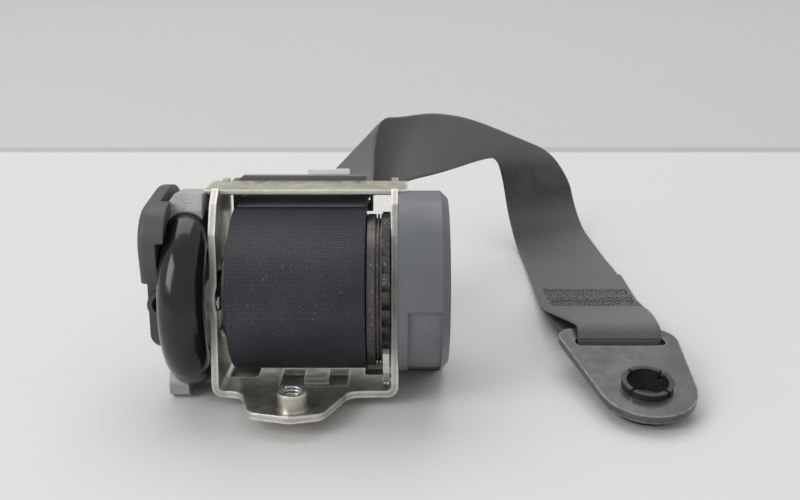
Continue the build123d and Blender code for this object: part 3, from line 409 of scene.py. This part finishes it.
TAIL_EDGES = [
    ((98.5, 26.0, 6.9), (133.7, 26.0, 6.9)),
    ((95.0, 42.0, 5.6), (136.4, 42.0, 5.6)),
    ((93.9, 56.0, 4.1), (137.6, 56.0, 4.1)),
    ((94.4, 70.0, 2.2), (138.2, 70.0, 2.2)),
    ((94.9, 84.0, 1.2), (138.6, 84.0, 1.2)),
    ((95.3, 97.0, 0.65), (138.8, 97.0, 0.65)),
    ((95.4, 104.0, 0.65), (138.8, 104.0, 0.65)),
]

# Loop round the plate's bar, from the upper layer over the front to the lower one
BAR_X, BAR_Y, BAR_Z = 116.1, 11.7522, 12.0781
LOOP_RADIUS = 4.6
LOOP_HALF_WIDTH = 15.75
loop = []
for degrees in (76, 107, 138, 169, 200, 233, 266):
    y = BAR_Y + LOOP_RADIUS * math.cos(math.radians(degrees))
    z = BAR_Z + LOOP_RADIUS * math.sin(math.radians(degrees))
    loop.append(((BAR_X - LOOP_HALF_WIDTH, y, z), (BAR_X + LOOP_HALF_WIDTH, y, z)))

HALF_THICKNESS = 0.6
SELVAGE_HALF = 0.08
SELVAGE_SQUARENESS = 40
ACROSS_STEPS = 28
# Share of the steps across that crowd towards the selvages
CROWDED = 0.35


def strap(name, edges, start=0.0):
    """Webbing between two smooth edges, with its middle line in metres and its last mark along."""
    lefts = nurbs([ground(*left) for left, _ in edges])
    rights = nurbs([ground(*right) for _, right in edges])
    middles = [(left + right) / 2 for left, right in zip(lefts, rights)]
    last = len(middles) - 1
    rings = []
    along = start
    for i, (left, right) in enumerate(zip(lefts, rights)):
        if i:
            along += (middles[i] - middles[i - 1]).length * 1000
        across = (right - left).normalized()
        run = middles[min(i + 1, last)] - middles[max(i - 1, 0)]
        normal = across.cross(run - across * run.dot(across)).normalized()
        upper = []
        lower = []
        for j in range(ACROSS_STEPS + 1):
            even = j / ACROSS_STEPS
            t = CROWDED * (0.5 - 0.5 * math.cos(math.pi * even)) + (1 - CROWDED) * even
            fullness = math.sqrt(max(0.0, 1 - abs(2 * t - 1) ** SELVAGE_SQUARENESS))
            half = normal * (HALF_THICKNESS * fullness + SELVAGE_HALF) / 1000
            middle = left.lerp(right, t)
            upper.append((middle + half, t * WEBBING_WIDTH))
            lower.append((middle - half, t * WEBBING_WIDTH))
        rings.append((upper + lower[::-1], along))
    return skin(name, rings, WEBBING), middles, along


front = len(loop) // 2
belt, route, belt_end = strap("free_webbing", FREE_EDGES + loop[:front + 1])
tail, _, _ = strap("sewn_tail", loop[front:] + TAIL_EDGES, belt_end)
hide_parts("belt_webbing")
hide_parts("belt_tail")

# Stitch band
STITCH_ROWS = 12
STITCH_FRONT, STITCH_BACK = 54.0, 79.0
STITCH_LEFT, STITCH_RIGHT = 97.0, 134.5
# Height of the strap's middle at places along y
STRAP_Y = (52, 57, 70, 77, 81)
STRAP_Z = (6.35, 5.3, 3.5, 3.0, 2.75)
# From the strap's middle to the underside of the thread
STITCH_LIFT = 0.68
THREAD_HALF = 0.3
THREAD_RISE = 0.26
SHORTEST_STITCH = 1.3
STITCH_HALF_WIDTH = 0.5
# Most that chance adds to a stitch's length and height, and moves a row and its first stitch
STEP_SPREAD = 1.0
HEIGHT_SPREAD = 0.16
ROW_SPREAD = 0.5
START_SPREAD = 1.6


def stitch(bm, start, end):
    """One stitch, as thread that is narrow at its ends and raised in its middle."""
    run = (end - start).normalized() * THREAD_HALF
    wide = run.cross(Vector((0, 0, 1)))
    narrow = wide * 0.4
    middle = (start + end) / 2
    crest = middle + Vector((0, 0, THREAD_RISE))
    outline = (start - narrow, middle - wide, end - narrow, end + narrow, middle + wide, start + narrow)
    base = [bm.verts.new(ground(*place)) for place in outline]
    near, far = [bm.verts.new(ground(*place)) for place in (crest - run, crest + run)]
    bm.faces.new((base[0], base[1], far, near))
    bm.faces.new((base[1], base[2], far))
    bm.faces.new((base[2], base[3], far))
    bm.faces.new((base[3], base[4], near, far))
    bm.faces.new((base[4], base[5], near))
    bm.faces.new((base[5], base[0], near))
    bm.faces.new(base[::-1])


def stitches():
    """Rows of zigzag thread that hold the tail."""
    bm = bmesh.new()
    row_pitch = (STITCH_BACK - STITCH_FRONT) / (STITCH_ROWS - 1)
    for row in range(STITCH_ROWS):
        y = STITCH_FRONT + row_pitch * row + ROW_SPREAD * (rng.random() - 0.5)
        x = STITCH_LEFT + START_SPREAD * rng.random()
        side = STITCH_HALF_WIDTH
        while x < STITCH_RIGHT:
            step = SHORTEST_STITCH + STEP_SPREAD * rng.random()
            height = np.interp(y, STRAP_Y, STRAP_Z) + STITCH_LIFT + HEIGHT_SPREAD * rng.random()
            start = Vector((x, y - side * rng.random(), height))
            stitch(bm, start, Vector((x + step, y + side, height)))
            x += step
            side = -side
    return piece("stitch_band", bm, STITCHED)


stitch_band = stitches()
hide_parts("belt_stitching")

# Wound webbing
ROLL_RADIUS = 28.8
CORE_RADIUS = 13.05
LAYER = 1.2
STEPS_A_TURN = 96
# The outermost layer starts higher by this much, and settles within this share of a turn
LEAD_RISE = 1.56
LEAD_SHARE = 1 / 7
# How far and how often a layer shifts sideways, and most that its edges draw in
WOBBLE = 0.2
WOBBLES_A_TURN = 5.3
INSET = 0.1
# One layer's outline: marks across the webbing, and heights from the layer's middle
LAYER_OUTLINE = (
    (0.0, 0.0), (0.12, 0.45), (0.6, 0.58), (23.5, 0.6), (46.4, 0.58), (46.88, 0.45), (47.0, 0.0),
    (46.88, -0.45), (46.4, -0.56), (0.6, -0.56), (0.12, -0.45),
)


def wound_roll():
    """The roll as one long layer that runs on from the free webbing, forward, down and inward."""
    turns = (ROLL_RADIUS - CORE_RADIUS) / LAYER - 0.5
    rings = []
    length = 0.0
    for i in range(int(turns * STEPS_A_TURN) + 1):
        turn = i / STEPS_A_TURN
        angle = math.pi * (0.5 + 2 * turn)
        settled = max(0.0, 1 - turn / LEAD_SHARE)
        middle = ROLL_RADIUS - LAYER * (0.5 + turn) + LEAD_RISE * settled**2
        shift = WOBBLE * noise.noise(Vector((turn * WOBBLES_A_TURN, 1.7, 0.4))) * min(1.0, turn)
        inset = INSET * min(1.0, turn)
        ring = []
        for side, rise in LAYER_OUTLINE:
            x = ROLL_LEFT + min(max(side + shift, inset), WEBBING_WIDTH - inset)
            radius = middle + rise
            ring.append((spot(x, radius * math.cos(angle), radius * math.sin(angle)), side))
        rings.append((ring, length))
        length += 2 * math.pi * middle / STEPS_A_TURN
    return skin("wound_webbing", rings, ROLLED_SHADED, "spool")


roll = wound_roll()
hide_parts("webbing_roll")

# Thread in the boss
BOSS_X, BOSS_Y = -2.8, -32.6
THREAD_BOTTOM = -34.3
THREAD_LENGTH = 8.0
THREAD_PITCH = 1.25
ROOT_RADIUS = 3.72
CREST_RADIUS = 3.2
THREAD_STEPS = 40
# One thread's outline: radii, and heights from its lower edge
THREAD_OUTLINE = ((ROOT_RADIUS, 0.0), (CREST_RADIUS, 0.5), (CREST_RADIUS, 0.65), (ROOT_RADIUS, 1.15))


def boss_thread():
    """Rolled thread on the wall of the mounting hole."""
    bm = bmesh.new()
    rings = []
    for i in range(int(THREAD_LENGTH / THREAD_PITCH * THREAD_STEPS)):
        angle = 2 * math.pi * i / THREAD_STEPS
        height = THREAD_BOTTOM + THREAD_PITCH * i / THREAD_STEPS
        ring = []
        for radius, rise in THREAD_OUTLINE:
            x = BOSS_X + radius * math.cos(angle)
            y = BOSS_Y + radius * math.sin(angle)
            ring.append(bm.verts.new(spot(x, y, height + rise)))
        rings.append(ring)
    for first, second in zip(rings, rings[1:]):
        for j in range(len(first)):
            k = (j + 1) % len(first)
            bm.faces.new((first[j], first[k], second[k], second[j]))
    bm.faces.new(rings[0])
    bm.faces.new(rings[-1])
    return piece("boss_thread", bm, BRIGHT)


boss_thread()


# Table, far wall tone and light
def stage_floor():
    """Pale table whose far part has the wall's tone, with a darker line where the two meet."""
    pale = (0.72, 0.71, 0.69)
    made = Shade("table", pale, 0.55, Specular_IOR_Level=0.3)
    where = made.place()
    far = made.split(where)[1]
    line = made.times(made.band(far, 0.35, 0.354), made.band(far, 0.36, 0.372, 1.0, 0.0))
    tone = made.blend(made.band(far, 0.355, 0.356), pale, (0.585, 0.578, 0.568))
    made.set("Base Color", made.tint(tone, line, 0.9, (0.46, 0.455, 0.45)))
    made.set("Roughness", made.spots(where, 30, 0.3, 0.7, 0.5, 0.6, detail=3))
    bm = bmesh.new()
    bmesh.ops.create_grid(bm, x_segments=8, y_segments=8, size=4)
    table = mesh_object("table", bm, made.material)


def area_light(name, location, aim, size, power, colour):
    """A soft rectangular lamp that points at a place."""
    data = bpy.data.lights.new(name, "AREA")
    data.shape = "RECTANGLE"
    data.size, data.size_y = size
    data.energy = power
    data.color = colour
    lamp = bpy.data.objects.new(name, data)
    lamp.location = location
    lamp.rotation_euler = (Vector(aim) - Vector(location)).to_track_quat("-Z", "Y").to_euler()
    bpy.context.scene.collection.objects.link(lamp)


stage_floor()
area_light("ceiling", (-0.25, 1.45, 2.6), (0, 0.05, 0), size=(2.9, 2.2), power=36, colour=(1, 0.985, 0.96))
area_light("window", (-1.1, -0.8, 1.0), (0, 0, 0.03), size=(0.8, 1.0), power=11, colour=(0.97, 0.98, 1))

world = bpy.data.worlds.new("world")
bpy.context.scene.world = world
world.use_nodes = True
background = world.node_tree.nodes["Background"]
background.inputs["Color"].default_value = (0.93, 0.94, 0.96, 1)
background.inputs["Strength"].default_value = 0.6

bpy.context.scene.view_settings.view_transform = "Standard"
